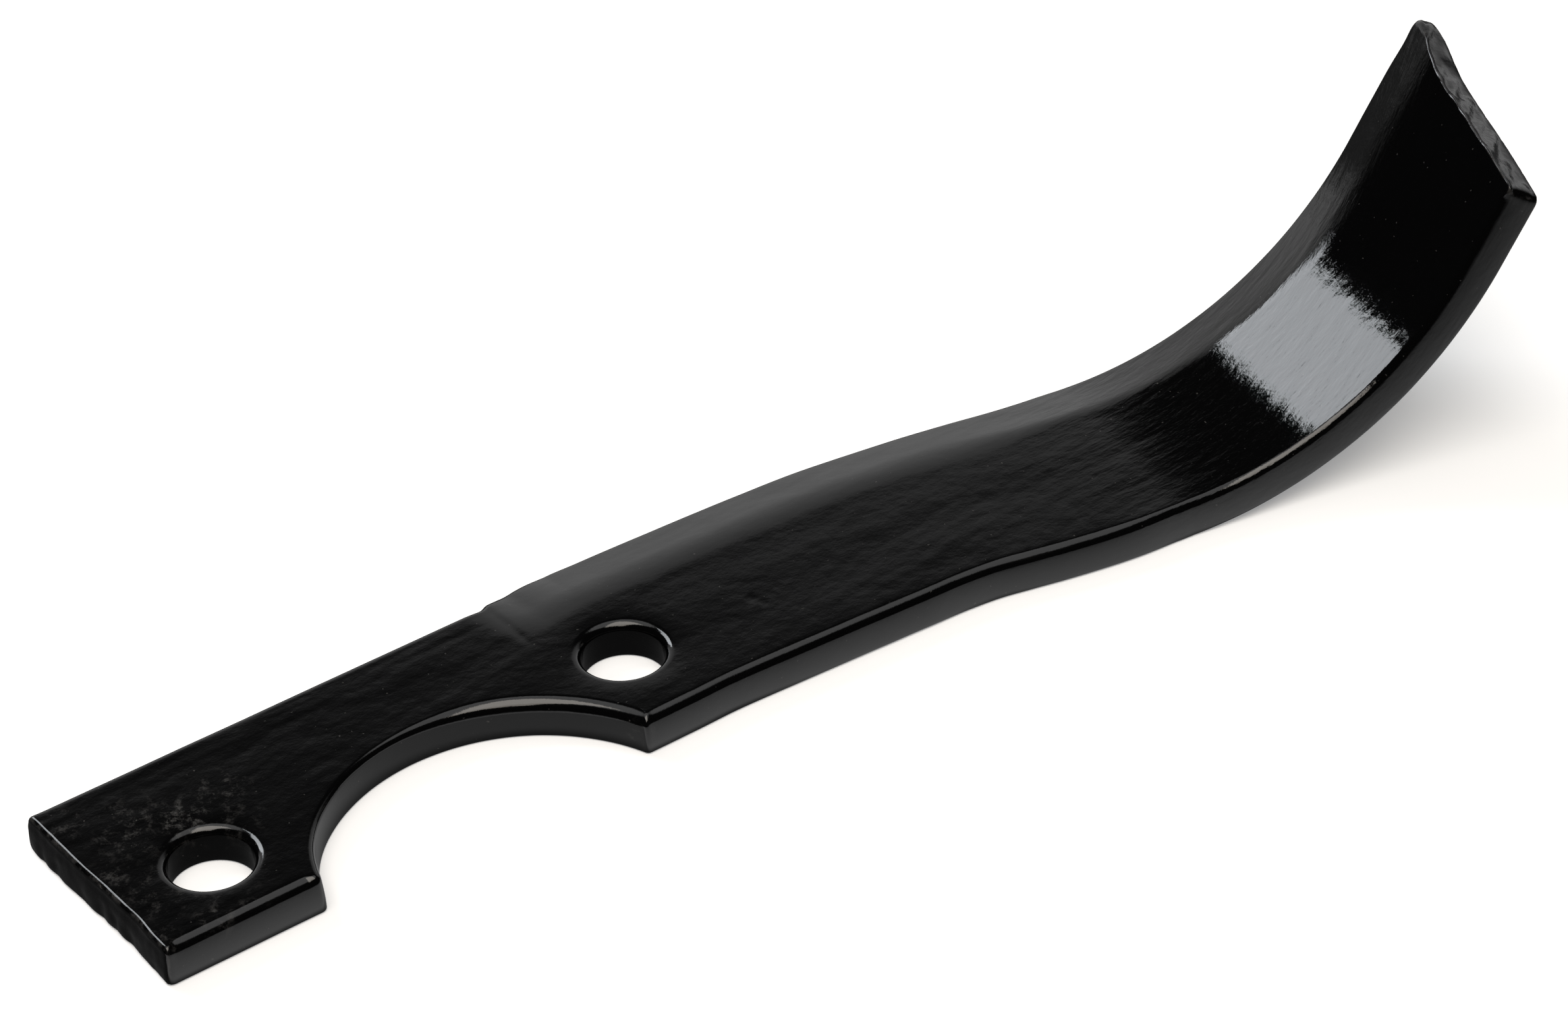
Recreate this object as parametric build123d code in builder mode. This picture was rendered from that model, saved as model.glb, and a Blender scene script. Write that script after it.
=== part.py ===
from build123d import *
from math import cos, radians, sin, sqrt
import os

# Rotary tiller blade, forged in one piece from flat bar: a shank with two bolt holes and a
# half-moon notch, then a blade with a drawn-out cutting edge, bent up towards its sheared tip.
# Millimetres. The origin is midway between the bolt holes on the underside. +X runs along the
# bar towards the tip, +Y towards the cutting edge, and +Z up, the way that the tip is bent.

# Flat bar
thickness = 6.15
bar_front = -15.7
bar_back = 24.5
bar_corner = 1.4
bar_back_corner = 1.1

# Bolt holes, and the stretch of shank beyond the end hole
hole_spacing = 75.0
hole_diameter = 13.0
hole_row_turn = 1.85
hole_rim = 0.8
end_land = 9.9
shank_length = (hole_spacing + hole_diameter) / 2 + end_land
shank_end_turn = 1.2

# Half-moon notch that clears the rotor's hub
notch_radius = 30.75
notch_offset = 1.1
notch_depth = 20.4
notch_rim = 0.8

# Cutting edge and the bevel that falls to it
edge_thickness = 2.65
edge_corner = 1.2
bevel_width = 12.3
crease_radius = 12.0
soft_crease_radius = 25.0

# Forging: it starts where the edge is drawn out of the bar and ends at the bend line
forging_start = 25.5
drawing_length = 15.0
bend_line = 131.4
heading = -10.5
blade_front = -25.25
blade_back = 18.4

# Bend, and the tip beyond it along its two edges
bend_radius = 61.8
bend_angle = 59.0
tip_front_length = 13.2
tip_back_length = 24.8
tip_front_corner = 1.2
tip_back_corner = 3.8
tip_overhang = 0.15

# Roundings left on the sheared ends, and how far stock runs past a cut
shank_end_rim = 0.5
tip_end_rim = 0.4
overcut = 6.0

# Plan of the forging: place along the bar, turn of the section, front edge, back edge
forging_plan = [
    (28.0, 0.0, bar_front, 25.75),
    (31.0, 0.0, bar_front, 26.8),
    (34.5, 0.0, bar_front, 28.05),
    (39.5, 0.0, bar_front, 29.15),
    (47.0, 0.0, -15.6, 29.0),
    (60.0, 0.0, -16.3, 28.5),
    (76.0, 0.0, -17.3, 27.7),
    (90.0, 0.0, -18.2, 26.55),
    (95.5, 0.0, -18.95, 25.7),
    (101.0, 0.0, -20.3, 24.8),
    (107.0, -2.0, -21.7, 23.6),
    (114.0, -5.0, -23.3, 21.9),
    (122.0, -8.0, -24.6, 20.0),
    (127.0, -9.6, -25.1, 18.95),
]


def station(along, turn):
    """Plane across the blade at a place on the bar's line, turned in plan by some degrees."""
    across = (-sin(radians(turn)), cos(radians(turn)), 0)
    forward = (cos(radians(turn)), sin(radians(turn)), 0)
    return Plane(origin=(along, 0, 0), x_dir=across, z_dir=forward)


def blade_section(plane, front, back, bevel, edge, edge_rounding, crease):
    """Section with a flat underside and, at the back, a bevel that falls to the cutting edge."""
    with BuildSketch(plane) as section:
        with BuildLine():
            FilletPolyline(
                (front, 0),
                (back, 0),
                (back, edge),
                (back - bevel, thickness),
                (front, thickness),
                radius=[bar_corner, edge_rounding, edge_rounding, crease, bar_corner],
                close=True,
            )
        make_face()
    return section.sketch


def forged_section(along, turn, front, back):
    """Section of the forging: the bevel swells like a spoon, then its crease sharpens."""
    drawn = min(1.0, (along - forging_start) / drawing_length)
    sharpened = turn / heading
    bar_edge = thickness - bar_back_corner
    return blade_section(
        station(along, turn),
        front,
        back,
        bevel_width * sqrt(1 - (1 - drawn) ** 2),
        bar_edge - (bar_edge - edge_thickness) * drawn,
        edge_corner,
        soft_crease_radius * drawn + (crease_radius - soft_crease_radius) * sharpened,
    )


def punched_void(radius, rim):
    """Round void punched through the bar, whose rim rolls over where the punch went in."""
    with BuildPart() as void:
        with BuildSketch(Plane.XZ):
            with BuildLine():
                wall = Line((radius, 0), (radius, thickness - rim))
                roll = TangentArc(wall @ 1, (radius + rim, thickness), tangent=wall % 1)
                Polyline(roll @ 1, (0, thickness), (0, 0), wall @ 0)
            make_face()
        revolve(axis=Axis.Z)
    return void.part


# The bar's own section has a corner where the bevel will grow
bar_section = blade_section(
    station(forging_start, 0),
    bar_front,
    bar_back,
    bar_back_corner,
    thickness - bar_back_corner,
    bar_back_corner,
    bar_back_corner,
)
bend_plane = station(bend_line, heading)
bend_section = forged_section(bend_line, heading, blade_front, blade_back)

# The bend turns about a line above the inner face, so that the tip rises
bend_axis = Axis(
    bend_plane.from_local_coords(Vector(0, thickness + bend_radius, 0)), -bend_plane.x_dir
)
tip_section = bend_section.rotate(bend_axis, bend_angle)
tip_forward = bend_plane.z_dir.rotate(Axis((0, 0, 0), bend_axis.direction), bend_angle)
tip_plane = Plane(
    origin=Vertex(bend_plane.origin).rotate(bend_axis, bend_angle).center(),
    x_dir=bend_plane.x_dir,
    z_dir=bend_plane.x_dir.cross(tip_forward),
)

# Tip: the bent strip sheared off at a slant, with its trailing corner rounded
with BuildPart() as tip:
    extrude(tip_section, amount=tip_back_length + overcut)
    with BuildSketch(tip_plane):
        with BuildLine():
            FilletPolyline(
                (blade_front - tip_overhang, -overcut),
                (blade_back + tip_overhang, -overcut),
                (blade_back + tip_overhang, tip_back_length),
                (blade_front - tip_overhang, tip_front_length),
                radius=[0, 0, tip_back_corner, tip_front_corner],
                close=True,
            )
        make_face()
    extrude(amount=thickness + overcut, both=True, mode=Mode.INTERSECT)

notch_void = punched_void(notch_radius, notch_rim)
hole_void = punched_void(hole_diameter / 2, hole_rim)

with BuildPart() as blade:
    # Shank, forged blade, bend and tip, each on the section that the one before it ends with
    extrude(bar_section, amount=-(forging_start + shank_length + overcut))
    split(bisect_by=station(-shank_length, shank_end_turn), keep=Keep.TOP)
    shank_end = blade.faces().sort_by(Axis.X)[0]
    fillet(shank_end.edges(), shank_end_rim)
    loft([bar_section, *[forged_section(*place) for place in forging_plan], bend_section])
    revolve(bend_section, axis=bend_axis, revolution_arc=bend_angle)
    add(tip.part)
    tip_end = blade.faces().filter_by(GeomType.PLANE).sort_by(Axis.Z)[-1]
    fillet(tip_end.edges(), tip_end_rim)

    # Half-moon notch
    with Locations((notch_offset, bar_front + notch_depth - notch_radius)):
        add(notch_void, mode=Mode.SUBTRACT)

    # Bolt holes
    with PolarLocations(hole_spacing / 2, 2, start_angle=hole_row_turn):
        add(hole_void, mode=Mode.SUBTRACT)

blade.part.label = "blade"
os.makedirs("parts", exist_ok=True)
export_step(blade.part, "parts/blade.step")
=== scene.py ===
"""Rotary tiller blade, dressed: one forged bar with its punched holes, drawn-out edge and bent tip.

The surface is worked out flat, as if the blade were not bent yet, and then bent round its radius.
Sizes are in millimetres until the mesh is made, and metres after that.
"""

import logging
from dataclasses import dataclass, field
from enum import IntEnum
from math import cos, pi, radians, sin
from typing import NamedTuple

import bpy
import numpy as np
from mathutils import Matrix, Vector


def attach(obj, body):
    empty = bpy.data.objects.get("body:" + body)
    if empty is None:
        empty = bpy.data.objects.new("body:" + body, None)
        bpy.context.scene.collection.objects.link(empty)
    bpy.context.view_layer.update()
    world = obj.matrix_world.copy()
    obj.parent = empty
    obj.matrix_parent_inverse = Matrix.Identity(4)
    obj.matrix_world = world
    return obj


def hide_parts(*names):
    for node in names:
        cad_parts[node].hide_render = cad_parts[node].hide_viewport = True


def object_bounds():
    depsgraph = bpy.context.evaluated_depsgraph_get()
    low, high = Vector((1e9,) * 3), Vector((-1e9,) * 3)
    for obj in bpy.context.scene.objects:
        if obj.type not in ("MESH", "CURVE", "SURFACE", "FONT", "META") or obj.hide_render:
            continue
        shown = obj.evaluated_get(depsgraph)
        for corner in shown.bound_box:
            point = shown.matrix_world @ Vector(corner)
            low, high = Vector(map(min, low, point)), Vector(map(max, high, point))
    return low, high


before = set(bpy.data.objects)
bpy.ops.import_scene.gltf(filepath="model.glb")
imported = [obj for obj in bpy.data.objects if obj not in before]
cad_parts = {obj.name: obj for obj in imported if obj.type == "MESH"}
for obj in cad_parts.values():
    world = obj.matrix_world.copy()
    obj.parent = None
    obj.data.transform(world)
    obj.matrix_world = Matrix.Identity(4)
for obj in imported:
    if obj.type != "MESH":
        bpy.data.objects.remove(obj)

Array = np.ndarray
Socket = bpy.types.NodeSocket
log = logging.getLogger("tiller_blade")
MM = 0.001
CAD_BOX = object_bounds()


class Side(IntEnum):
    """The four sides of the blade's outline, in the order that the outline runs."""

    FRONT = 0
    TIP = 1
    BACK = 2
    SHANK = 3


def smooth(t: Array) -> Array:
    """Ease from 0 to 1: three squares less two cubes of t, with t held between 0 and 1."""
    t = np.clip(t, 0.0, 1.0)
    return t * t * (3.0 - 2.0 * t)


def bump(t: Array) -> Array:
    """Bell of height 1: e to the power of minus t squared."""
    return np.exp(-t * t)


def spline(x: Array, marks: tuple) -> Array:
    """Cubic Hermite curve through marks, each with its parabola's slope, and straight past them.

    Args:
        x: Places along the curve.
        marks: Pairs of a place and a value.

    Returns:
        One value a place.
    """
    knots, values = np.array(marks).T
    slope = np.gradient(values, knots)
    i = np.clip(np.searchsorted(knots, x) - 1, 0, len(knots) - 2)
    span = knots[i + 1] - knots[i]
    t = (x - knots[i]) / span
    rise = t * t * (3 - 2 * t)
    start = t * (1 - t) ** 2 * span * slope[i]
    finish = t * t * (t - 1) * span * slope[i + 1]
    inside = values[i] * (1 - rise) + values[i + 1] * rise + start + finish
    after = values[-1] + (x - knots[-1]) * slope[-1]
    return np.where(x > knots[-1], after, inside)


@dataclass(frozen=True)
class Ripple:
    """Smooth random field: a sum of sine waves whose directions and phases are drawn once."""

    seed: int
    longest: float
    shortest: float
    stretch: float = 1.0
    waves: int = 28
    height: float = 1.0

    def at(self, points: Array) -> Array:
        """Value of the field, up to about its height either way.

        Each wave is the sine of its own direction times the point, over a wavelength drawn
        between the shortest and the longest, and the first axis is stretched.

        Args:
            points: Places, two or three columns, in millimetres.

        Returns:
            One value a point.
        """
        draw = np.random.default_rng(self.seed)
        way = draw.normal(size=(points.shape[1], self.waves))
        way /= np.linalg.norm(way, axis=0)
        way[0] /= self.stretch
        length = np.exp(draw.uniform(np.log(self.shortest), np.log(self.longest), self.waves))
        phase = draw.uniform(0, 2 * pi, self.waves)
        total = np.sin(points @ (way * 2 * pi / length) + phase).sum(1)
        return self.height * (total / np.sqrt(self.waves))


def placed(name: str, data: bpy.types.ID) -> bpy.types.Object:
    """Object that holds the data, linked into the scene."""
    made = bpy.data.objects.new(name, data)
    bpy.context.scene.collection.objects.link(made)
    return made


def pose(place: Vector, *axes: Vector) -> Matrix:
    """Matrix that moves to a place and turns to three axes."""
    return Matrix.Translation(place) @ Matrix(axes).transposed().to_4x4()


@dataclass(frozen=True)
class Camera:
    """The photograph's viewpoint, solved from the outline, in degrees and millimetres."""

    place: tuple[float, float, float] = (-272.08, -483.17, 451.37)
    azimuth: float = -35.132
    elevation: float = 36.16
    roll: float = -2.388
    lens: float = 108.93

    def put(self) -> bpy.types.Object:
        """Make the camera, turned from its azimuth, elevation and roll."""
        a, e, r = radians(self.azimuth), radians(self.elevation), radians(self.roll)
        back = Vector((sin(a) * cos(e), -cos(a) * cos(e), sin(e)))
        level = Vector((cos(a), sin(a), 0))
        up = back.cross(level)
        right = cos(r) * level + sin(r) * up
        above = -sin(r) * level + cos(r) * up
        data = bpy.data.cameras.new("camera")
        data.sensor_width = 36.0
        data.lens = self.lens
        data.clip_start, data.clip_end = 0.01, 20.0
        made = placed("camera", data)
        made.matrix_world = pose(Vector(self.place) * MM, right, above, back)
        bpy.context.scene.camera = made
        return made


@dataclass(frozen=True)
class Bend:
    """The bend that lifts the tip: a cylinder rolled up from a line across the flat blade."""

    line: float = 131.4
    heading: float = -10.5
    thickness: float = 6.15
    inner_radius: float = 61.8
    angle: float = 59.0

    @property
    def outer_radius(self) -> float:
        """Radius of the underside, which keeps its length."""
        return self.inner_radius + self.thickness

    @property
    def end(self) -> float:
        """Distance past the bend line at which the bend is over."""
        return self.outer_radius * radians(self.angle)

    @property
    def forward(self) -> Array:
        """Plan direction in which the blade runs into the bend."""
        return np.array([cos(radians(self.heading)), sin(radians(self.heading))])

    @property
    def across(self) -> Array:
        """Plan direction of the bend line."""
        return np.array([-sin(radians(self.heading)), cos(radians(self.heading))])

    def local(self, flat: Array) -> tuple[Array, Array]:
        """Distance past the bend line and place along it, for flat plan points."""
        away = flat - np.array([self.line, 0.0])
        return away @ self.forward, away @ self.across

    def plan(self, past: Array, along: Array) -> Array:
        """Flat plan points for distances past the bend line and places along it."""
        start = np.array([self.line, 0.0])
        return start + past[:, None] * self.forward + along[:, None] * self.across

    def roll(self, points: Array) -> Array:
        """Bend flat points upwards.

        The angle is the distance past the line over the outer radius. A point then lies at the
        outer radius less its height from the bend's axis, and past the end it runs on straight.

        Args:
            points: Flat places with their heights, three columns.

        Returns:
            The same points, bent.
        """
        past, along = self.local(points[:, :2])
        angle = np.clip(past / self.outer_radius, 0.0, radians(self.angle))
        reach = self.outer_radius - points[:, 2]
        beyond = past - angle * self.outer_radius
        run = reach * np.sin(angle) + beyond * np.cos(angle)
        rise = self.outer_radius - reach * np.cos(angle) + beyond * np.sin(angle)
        return np.column_stack([self.plan(run, along), rise])


class Rim(NamedTuple):
    """How one stretch of the outline is rounded off.

    The upper and the lower rounding reach a width in on the faces, and go a depth down and a
    lift up on the wall. The pull says how square they are, and the wall leans in at its top.
    """

    top: float
    low: float
    depth: float
    lift: float
    pull: float
    lean: float


@dataclass
class Outline:
    """Plan of the flat blade: one closed line, with a rounding for every point of its rims."""

    bend: Bend
    bar_front: float = -15.7
    bar_back: float = 24.5
    notch_radius: float = 30.75
    notch_offset: float = 1.1
    notch_depth: float = 20.4
    notch_flare: float = 0.9
    forging_start: float = 25.5
    blade_front: float = -25.25
    blade_back: float = 18.40
    edge_taper: float = 1.1
    taper_length: float = 13.0
    shank_corner: float = 1.1
    tip_front_corner: float = 1.5
    tip_back_corner: float = 4.2
    notch_corners: tuple = (0.9, 0.7)
    turning: float = 2.8
    side_rims: tuple = (
        Rim(2.45, 0.35, 1.25, 0.45, 0.64, 0.70), Rim(0.35, 0.30, 0.35, 0.30, 0.71, 0.00),
        Rim(1.70, 0.60, 1.50, 0.90, 0.85, 0.15), Rim(1.30, 0.50, 1.10, 0.60, 0.72, 0.35),
    )
    slim_rim: Rim = Rim(1.85, 0.35, 1.10, 0.45, 0.64, 0.64)
    slim_span: tuple = (112.0, 132.0)
    notch_rims: tuple = (
        Rim(1.30, 0.30, 1.04, 0.40, 0.80, 0.25), Rim(2.50, 0.30, 2.00, 0.40, 0.80, 0.25),
    )
    notch_span: tuple = (-6.0, 18.0)
    apex_rim: Rim = Rim(1.25, 1.00, 1.10, 1.10, 0.75, 0.00)
    apex_span: tuple = (7.0, 2.0)
    anchors: tuple = (-46.0, 1.1, 46.0, 60.0, 190.0)
    step: float = 0.05
    stations: int = 500
    rows: int = 56
    front_marks: tuple = (
        (27.0, -15.70), (39.5, -15.70), (47.0, -15.60), (53.0, -15.87), (60.0, -16.30),
        (68.0, -16.79), (76.0, -17.30), (83.0, -17.74), (90.0, -18.19), (95.5, -18.93),
        (101.0, -20.31), (107.0, -21.87), (114.0, -23.42), (120.0, -24.42), (126.8, -25.02),
    )
    back_marks: tuple = (
        (28.0, 25.75), (31.0, 26.8), (34.5, 28.05), (39.5, 29.12), (47.0, 29.0),
        (60.0, 28.5), (76.0, 27.7), (90.0, 26.55), (95.5, 25.7), (101.0, 24.8),
        (107.82, 23.59), (115.91, 21.83), (124.78, 19.81), (134.76, 18.10),
    )
    shank_marks: tuple = (
        (-15.7, -53.50), (-11.0, -53.64), (-6.5, -53.34), (-2.0, -53.50), (2.5, -53.62),
        (7.0, -53.92), (11.0, -54.06), (17.0, -54.18), (24.5, -54.22),
    )
    tip_marks: tuple = (
        (-25.25, 13.0), (-20.0, 14.4), (-15.0, 15.7), (-9.8, 16.9), (-2.9, 18.45),
        (3.5, 20.1), (7.4, 21.6), (11.5, 23.3), (15.0, 24.5), (18.4, 25.5),
    )

    def __post_init__(self) -> None:
        """Walk round the four sides once, round their corners and note each point's rims."""
        sides = [self.front_line(), self.tip_line(), self.back_line()[::-1], self.shank_line()]
        walked = [self.walk(side)[:-1] for side in sides]
        self.corners = np.concatenate([[0], np.cumsum([len(w) for w in walked])])
        loop = np.vstack(walked)
        near = [self.nearest(loop, at) for at in self.notch_points()]
        widths = [self.shank_corner, self.tip_front_corner, self.tip_back_corner,
                  self.shank_corner, *self.notch_corners]
        for corner, width in zip([*self.corners[:4], *near], widths):
            loop = self.round_corner(loop, corner, width)
        self.loop = loop
        side = np.repeat(np.arange(len(Side)), [len(w) for w in walked])
        self.inward = self.inward_way(loop)
        self.roundings = self.rims(loop, side)
        self.top_rim, self.low_rim = self.roundings[:, 0], self.roundings[:, 1]
        ends = np.isin(side, (Side.TIP, Side.SHANK)).astype(float)
        self.sheared = self.averaged(ends[:, None], 0.5)[:, 0]

    def walk(self, line: Array) -> Array:
        """The same line in even steps."""
        gap = np.linalg.norm(np.diff(line, axis=0), axis=1)
        s = np.concatenate([[0.0], np.cumsum(gap)])
        at = np.linspace(0.0, s[-1], int(s[-1] / self.step) + 2)
        return np.column_stack([np.interp(at, s, line[:, 0]), np.interp(at, s, line[:, 1])])

    def notch_circle(self) -> tuple[float, float]:
        """Height of the notch's centre, and half the angle of its arc."""
        y = self.bar_front + self.notch_depth - self.notch_radius
        return y, float(np.arccos((self.bar_front - y) / self.notch_radius))

    def notch_points(self) -> tuple[Array, Array]:
        """The left and the right corner where the notch meets the bar's front."""
        reach = self.notch_radius * sin(self.notch_circle()[1])
        left = np.array([self.notch_offset - reach + self.notch_flare, self.bar_front])
        return left, np.array([self.notch_offset + reach, self.bar_front])

    def nearest(self, loop: Array, at: Array) -> int:
        """Index of the loop's point nearest to a place."""
        return int(np.linalg.norm(loop - at, axis=1).argmin())

    def front_line(self) -> Array:
        """Front side from the shank's end to the tip: bar, notch arc, bar, forging and bend.

        The arc's left end leans inwards by a bell of the angle from its corner.
        """
        y, half = self.notch_circle()
        turn = np.linspace(-half, half, 400)
        lean = self.notch_flare * bump((turn + half) / 0.22)
        reach_x = self.notch_offset + self.notch_radius * np.sin(turn) + lean
        arc = np.column_stack([reach_x, y + self.notch_radius * np.cos(turn)])
        x = np.linspace(30.8, 126.0, 300)
        forged = np.column_stack([x, spline(x, self.front_marks)])
        past = np.linspace(3.0, self.bend.end + self.tip_marks[0][1], 60)
        bent = self.bend.plan(past, np.full_like(past, self.blade_front))
        start = np.array([[self.shank_marks[0][1], self.bar_front]])
        return np.vstack([start, arc, forged, bent])

    def tip_line(self) -> Array:
        """Sheared end of the tip, from its front corner to the cutting edge."""
        along = np.linspace(self.blade_front, self.blade_back - self.edge_taper, 80)
        return self.bend.plan(self.bend.end + spline(along, self.tip_marks), along)

    def back_line(self) -> Array:
        """Back side from the shank's end to the tip: bar, spoon, drawn-out edge and bend."""
        x = np.linspace(self.forging_start - 1.0, 132.5, 320)
        forged = np.column_stack([x, self.back_at(x)])
        end = self.bend.end + self.tip_marks[-1][1]
        past = np.linspace(3.0, end, 80)
        taper = self.edge_taper * smooth((past - end) / self.taper_length + 1.0) ** 1.2
        bent = self.bend.plan(past, self.blade_back - taper)
        start = np.array([[self.shank_marks[-1][1], self.bar_back]])
        return np.vstack([start, forged, bent])

    def shank_line(self) -> Array:
        """Sheared end of the shank, from the back corner to the front one."""
        y = np.linspace(self.bar_back, self.bar_front, 80)
        return np.column_stack([spline(y, self.shank_marks), y])

    def back_at(self, x: Array) -> Array:
        """Cutting edge's line before its end is rounded: the bar, the spoon, then the bend.

        Args:
            x: Places along the bar.

        Returns:
            The line's y: a straight lead-in, a spline, and the bend's own straight line.
        """
        mark_x, mark_y = self.back_marks[0]
        forged = spline(np.clip(x, mark_x, None), self.back_marks)
        lead = smooth((x - self.forging_start + 0.5) / 3.0)
        first = self.bar_back + (x - self.forging_start) * (mark_y - self.bar_back) / 2.5
        forged = np.where(x < mark_x, first, forged)
        near = self.bar_back + (forged - self.bar_back) * lead
        slope = self.bend.across @ np.array([0.0, 1.0])
        start = self.bend.plan(np.zeros(1), np.array([self.blade_back]))[0]
        bent = start[1] + (x - start[0]) * self.bend.forward[1] / slope
        return np.where(x > start[0], bent, near)

    def averaged(self, values: Array, width: float) -> Array:
        """Moving average round the closed loop: a difference of running sums over their count.

        Args:
            values: One row for each point of the loop.
            width: Length taken in on either side, in millimetres.

        Returns:
            Rows of the same shape.
        """
        n = max(1, int(width / self.step))
        padded = np.vstack([values[-n:], values, values[:n]])
        total = np.vstack([np.zeros((1, values.shape[1])), np.cumsum(padded, axis=0)])
        return (total[2 * n + 1:] - total[: -2 * n - 1]) / (2 * n + 1)

    def round_corner(self, loop: Array, corner: int, width: float) -> Array:
        """Swap the loop near one corner for its moving average, which rounds it off."""
        away = np.abs(np.arange(len(loop)) - corner)
        away = np.minimum(away, len(loop) - away) * self.step
        share = smooth((1.7 * width - away) / (0.5 * width))[:, None]
        return loop + (self.averaged(loop, width) - loop) * share

    def inward_way(self, loop: Array) -> Array:
        """Unit plan directions into the blade: the tangent turned left, then averaged."""
        tangent = np.roll(loop, -1, axis=0) - np.roll(loop, 1, axis=0)
        left = np.column_stack([-tangent[:, 1], tangent[:, 0]])
        left /= np.linalg.norm(left, axis=1)[:, None] + 1e-12
        mixed = self.averaged(self.averaged(left, self.turning), self.turning)
        return mixed / np.linalg.norm(mixed, axis=1)[:, None]

    def rims(self, loop: Array, side: Array) -> Array:
        """Roundings at each point of the loop.

        Each side has its own. The front's grows slim along the blade, the notch's rolls over
        more towards the right, and the cutting edge's end is rounder. Averages join them.

        Args:
            loop: Plan points of the loop.
            side: The side that each point is on.

        Returns:
            Rows of a rim's six sizes.
        """
        x, y = loop.T
        rows = np.array(self.side_rims)[side]
        slim = self.between(x, *self.slim_span) * (side == Side.FRONT)[:, None]
        rows = rows + (np.array(self.slim_rim) - rows) * slim
        out = np.hypot(x - self.notch_offset, y - self.notch_circle()[0])
        notch = (side == Side.FRONT) & (out < self.notch_radius + 0.8) & (y > self.bar_front + 0.3)
        left, right = np.array(self.notch_rims)
        rolled = left + (right - left) * self.between(x, *self.notch_span)
        rows = np.where(notch[:, None], rolled, rows)
        away = np.abs(np.arange(len(loop)) - self.corners[Side.BACK]) * self.step
        rows = rows + (np.array(self.apex_rim) - rows) * self.between(away, *self.apex_span)
        return self.averaged(self.averaged(rows, 1.0), 0.7)

    def between(self, x: Array, start: float, stop: float) -> Array:
        """Share from 0 at the start to 1 at the stop, eased, as a column."""
        return smooth((x - start) / (stop - start))[:, None]

    def places(self) -> list[Array]:
        """Where the grid's stations and rows meet the loop.

        The front is shared out evenly, with more points near its corners. A back point keeps its
        front point's x up to the forging, and past the bend line both have run equally far.

        Returns:
            Loop indices (not whole) of the four sides, in order.
        """
        front_at, tip_at, back_at, shank_at, end_at = self.corners
        f = np.arange(front_at, tip_at + 1.0)
        near = [self.nearest(self.loop, at) for at in self.notch_points()]
        weight = np.ones_like(f)
        for corner, reach in [(near[0], 1.6), (near[1], 1.6), (front_at, 1.2), (tip_at, 1.5)]:
            weight += 1.6 * bump((f - corner) * self.step / reach)
        front = self.shared(f, weight, self.stations)
        fx = self.at(self.loop, front)[:, 0]
        gap = np.diff(front) * self.step
        kept = np.concatenate([[0.0], np.cumsum(np.maximum(np.diff(fx), 0.3 * gap))])
        held = [fx[0] + 1, *self.anchors]
        anchors = np.interp(held, fx[fx.argsort()], kept)
        x = np.interp(kept, anchors, held)
        x = np.where((kept < anchors[0]) | (kept > anchors[-1]), fx, x)
        back = self.loop[back_at:shank_at + 1, 0][::-1]
        lag = (self.blade_back - self.blade_front) * self.bend.across[0]
        level_from, level_to, turned, last = -45.0, 90.0, 126.8, fx[-1] - 14
        bx = np.interp(x, [fx[0], level_from, level_to, turned, last, fx[-1]],
                       [back.min(), level_from, level_to, turned + lag, last + lag, back.max()])
        grown = np.maximum.accumulate(back + np.arange(len(back)) * 1e-9)
        rear = np.interp(bx, grown, np.arange(shank_at, back_at - 1.0, -1.0))
        rear[0], rear[-1] = shank_at, back_at
        tip = np.linspace(tip_at, back_at, self.rows)
        shank = np.linspace(shank_at, end_at, self.rows)
        return [front, tip, rear[::-1], shank]

    def shared(self, index: Array, weight: Array, count: int) -> Array:
        """Share a stretch of the loop into places whose spacing goes as one over the weight."""
        s = np.concatenate([[0.0], np.cumsum((weight[1:] + weight[:-1]) / 2)])
        return np.interp(np.linspace(0.0, s[-1], count), s, index)

    def at(self, values: Array, place: Array) -> Array:
        """Values of the loop between its points."""
        n = len(self.loop)
        i = np.floor(place).astype(int)
        t = place - i
        t = t[:, None] if values.ndim > 1 else t
        return values[i % n] * (1 - t) + values[(i + 1) % n] * t


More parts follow.
